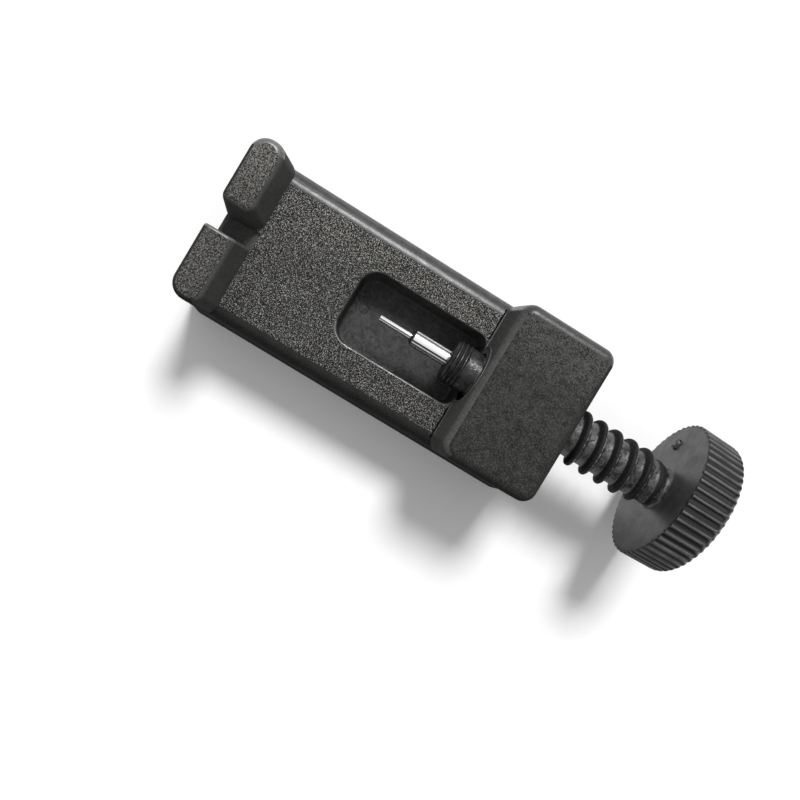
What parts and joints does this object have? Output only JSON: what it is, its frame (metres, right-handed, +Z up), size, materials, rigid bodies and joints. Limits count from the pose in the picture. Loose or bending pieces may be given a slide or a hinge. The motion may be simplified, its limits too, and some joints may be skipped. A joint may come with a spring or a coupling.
{
  "type": "watch link remover",
  "caption": "Plastic watch band tool: a thumbscrew drives a thin steel pin along a deck and out between two posts.",
  "frame": {"origin": "centre of the whole tool's footprint, on the surface that it stands on", "axes": "+X along the tool from the posts to the knob, +Y across it, +Z up"},
  "size_m": [0.0712, 0.0222, 0.0225],
  "materials": {
    "body_plastic": "near-black moulded plastic, coarse spark-eroded grain on the deck and fine grain on posts, block and walls",
    "screw_plastic": "near-black moulded plastic, half shiny on the thread, satin on the knob",
    "bright_steel": "bright ground steel"
  },
  "bodies": {
    "body": {"body": "body_plastic"},
    "pin_carrier": {"pin_holder": "bright_steel", "pusher_pin": "bright_steel"},
    "thumbscrew": {"thumbscrew": "screw_plastic"}
  },
  "joints": [
    {"name": "screw_feed", "type": "slide", "parent": "body", "child": "pin_carrier", "axis": [-1, 0, 0], "range_m": [-0.0069, 0.0138]},
    {"name": "screw_turn", "type": "hinge", "parent": "pin_carrier", "child": "thumbscrew", "pos_m": [0.02, 0, 0.013], "axis": [-1, 0, 0], "range_deg": [-1080.5, 2160.5]}
  ],
  "couplings": [
    {"joint": "screw_turn", "follows": "screw_feed", "rad_per_m": 2731.8}
  ]
}
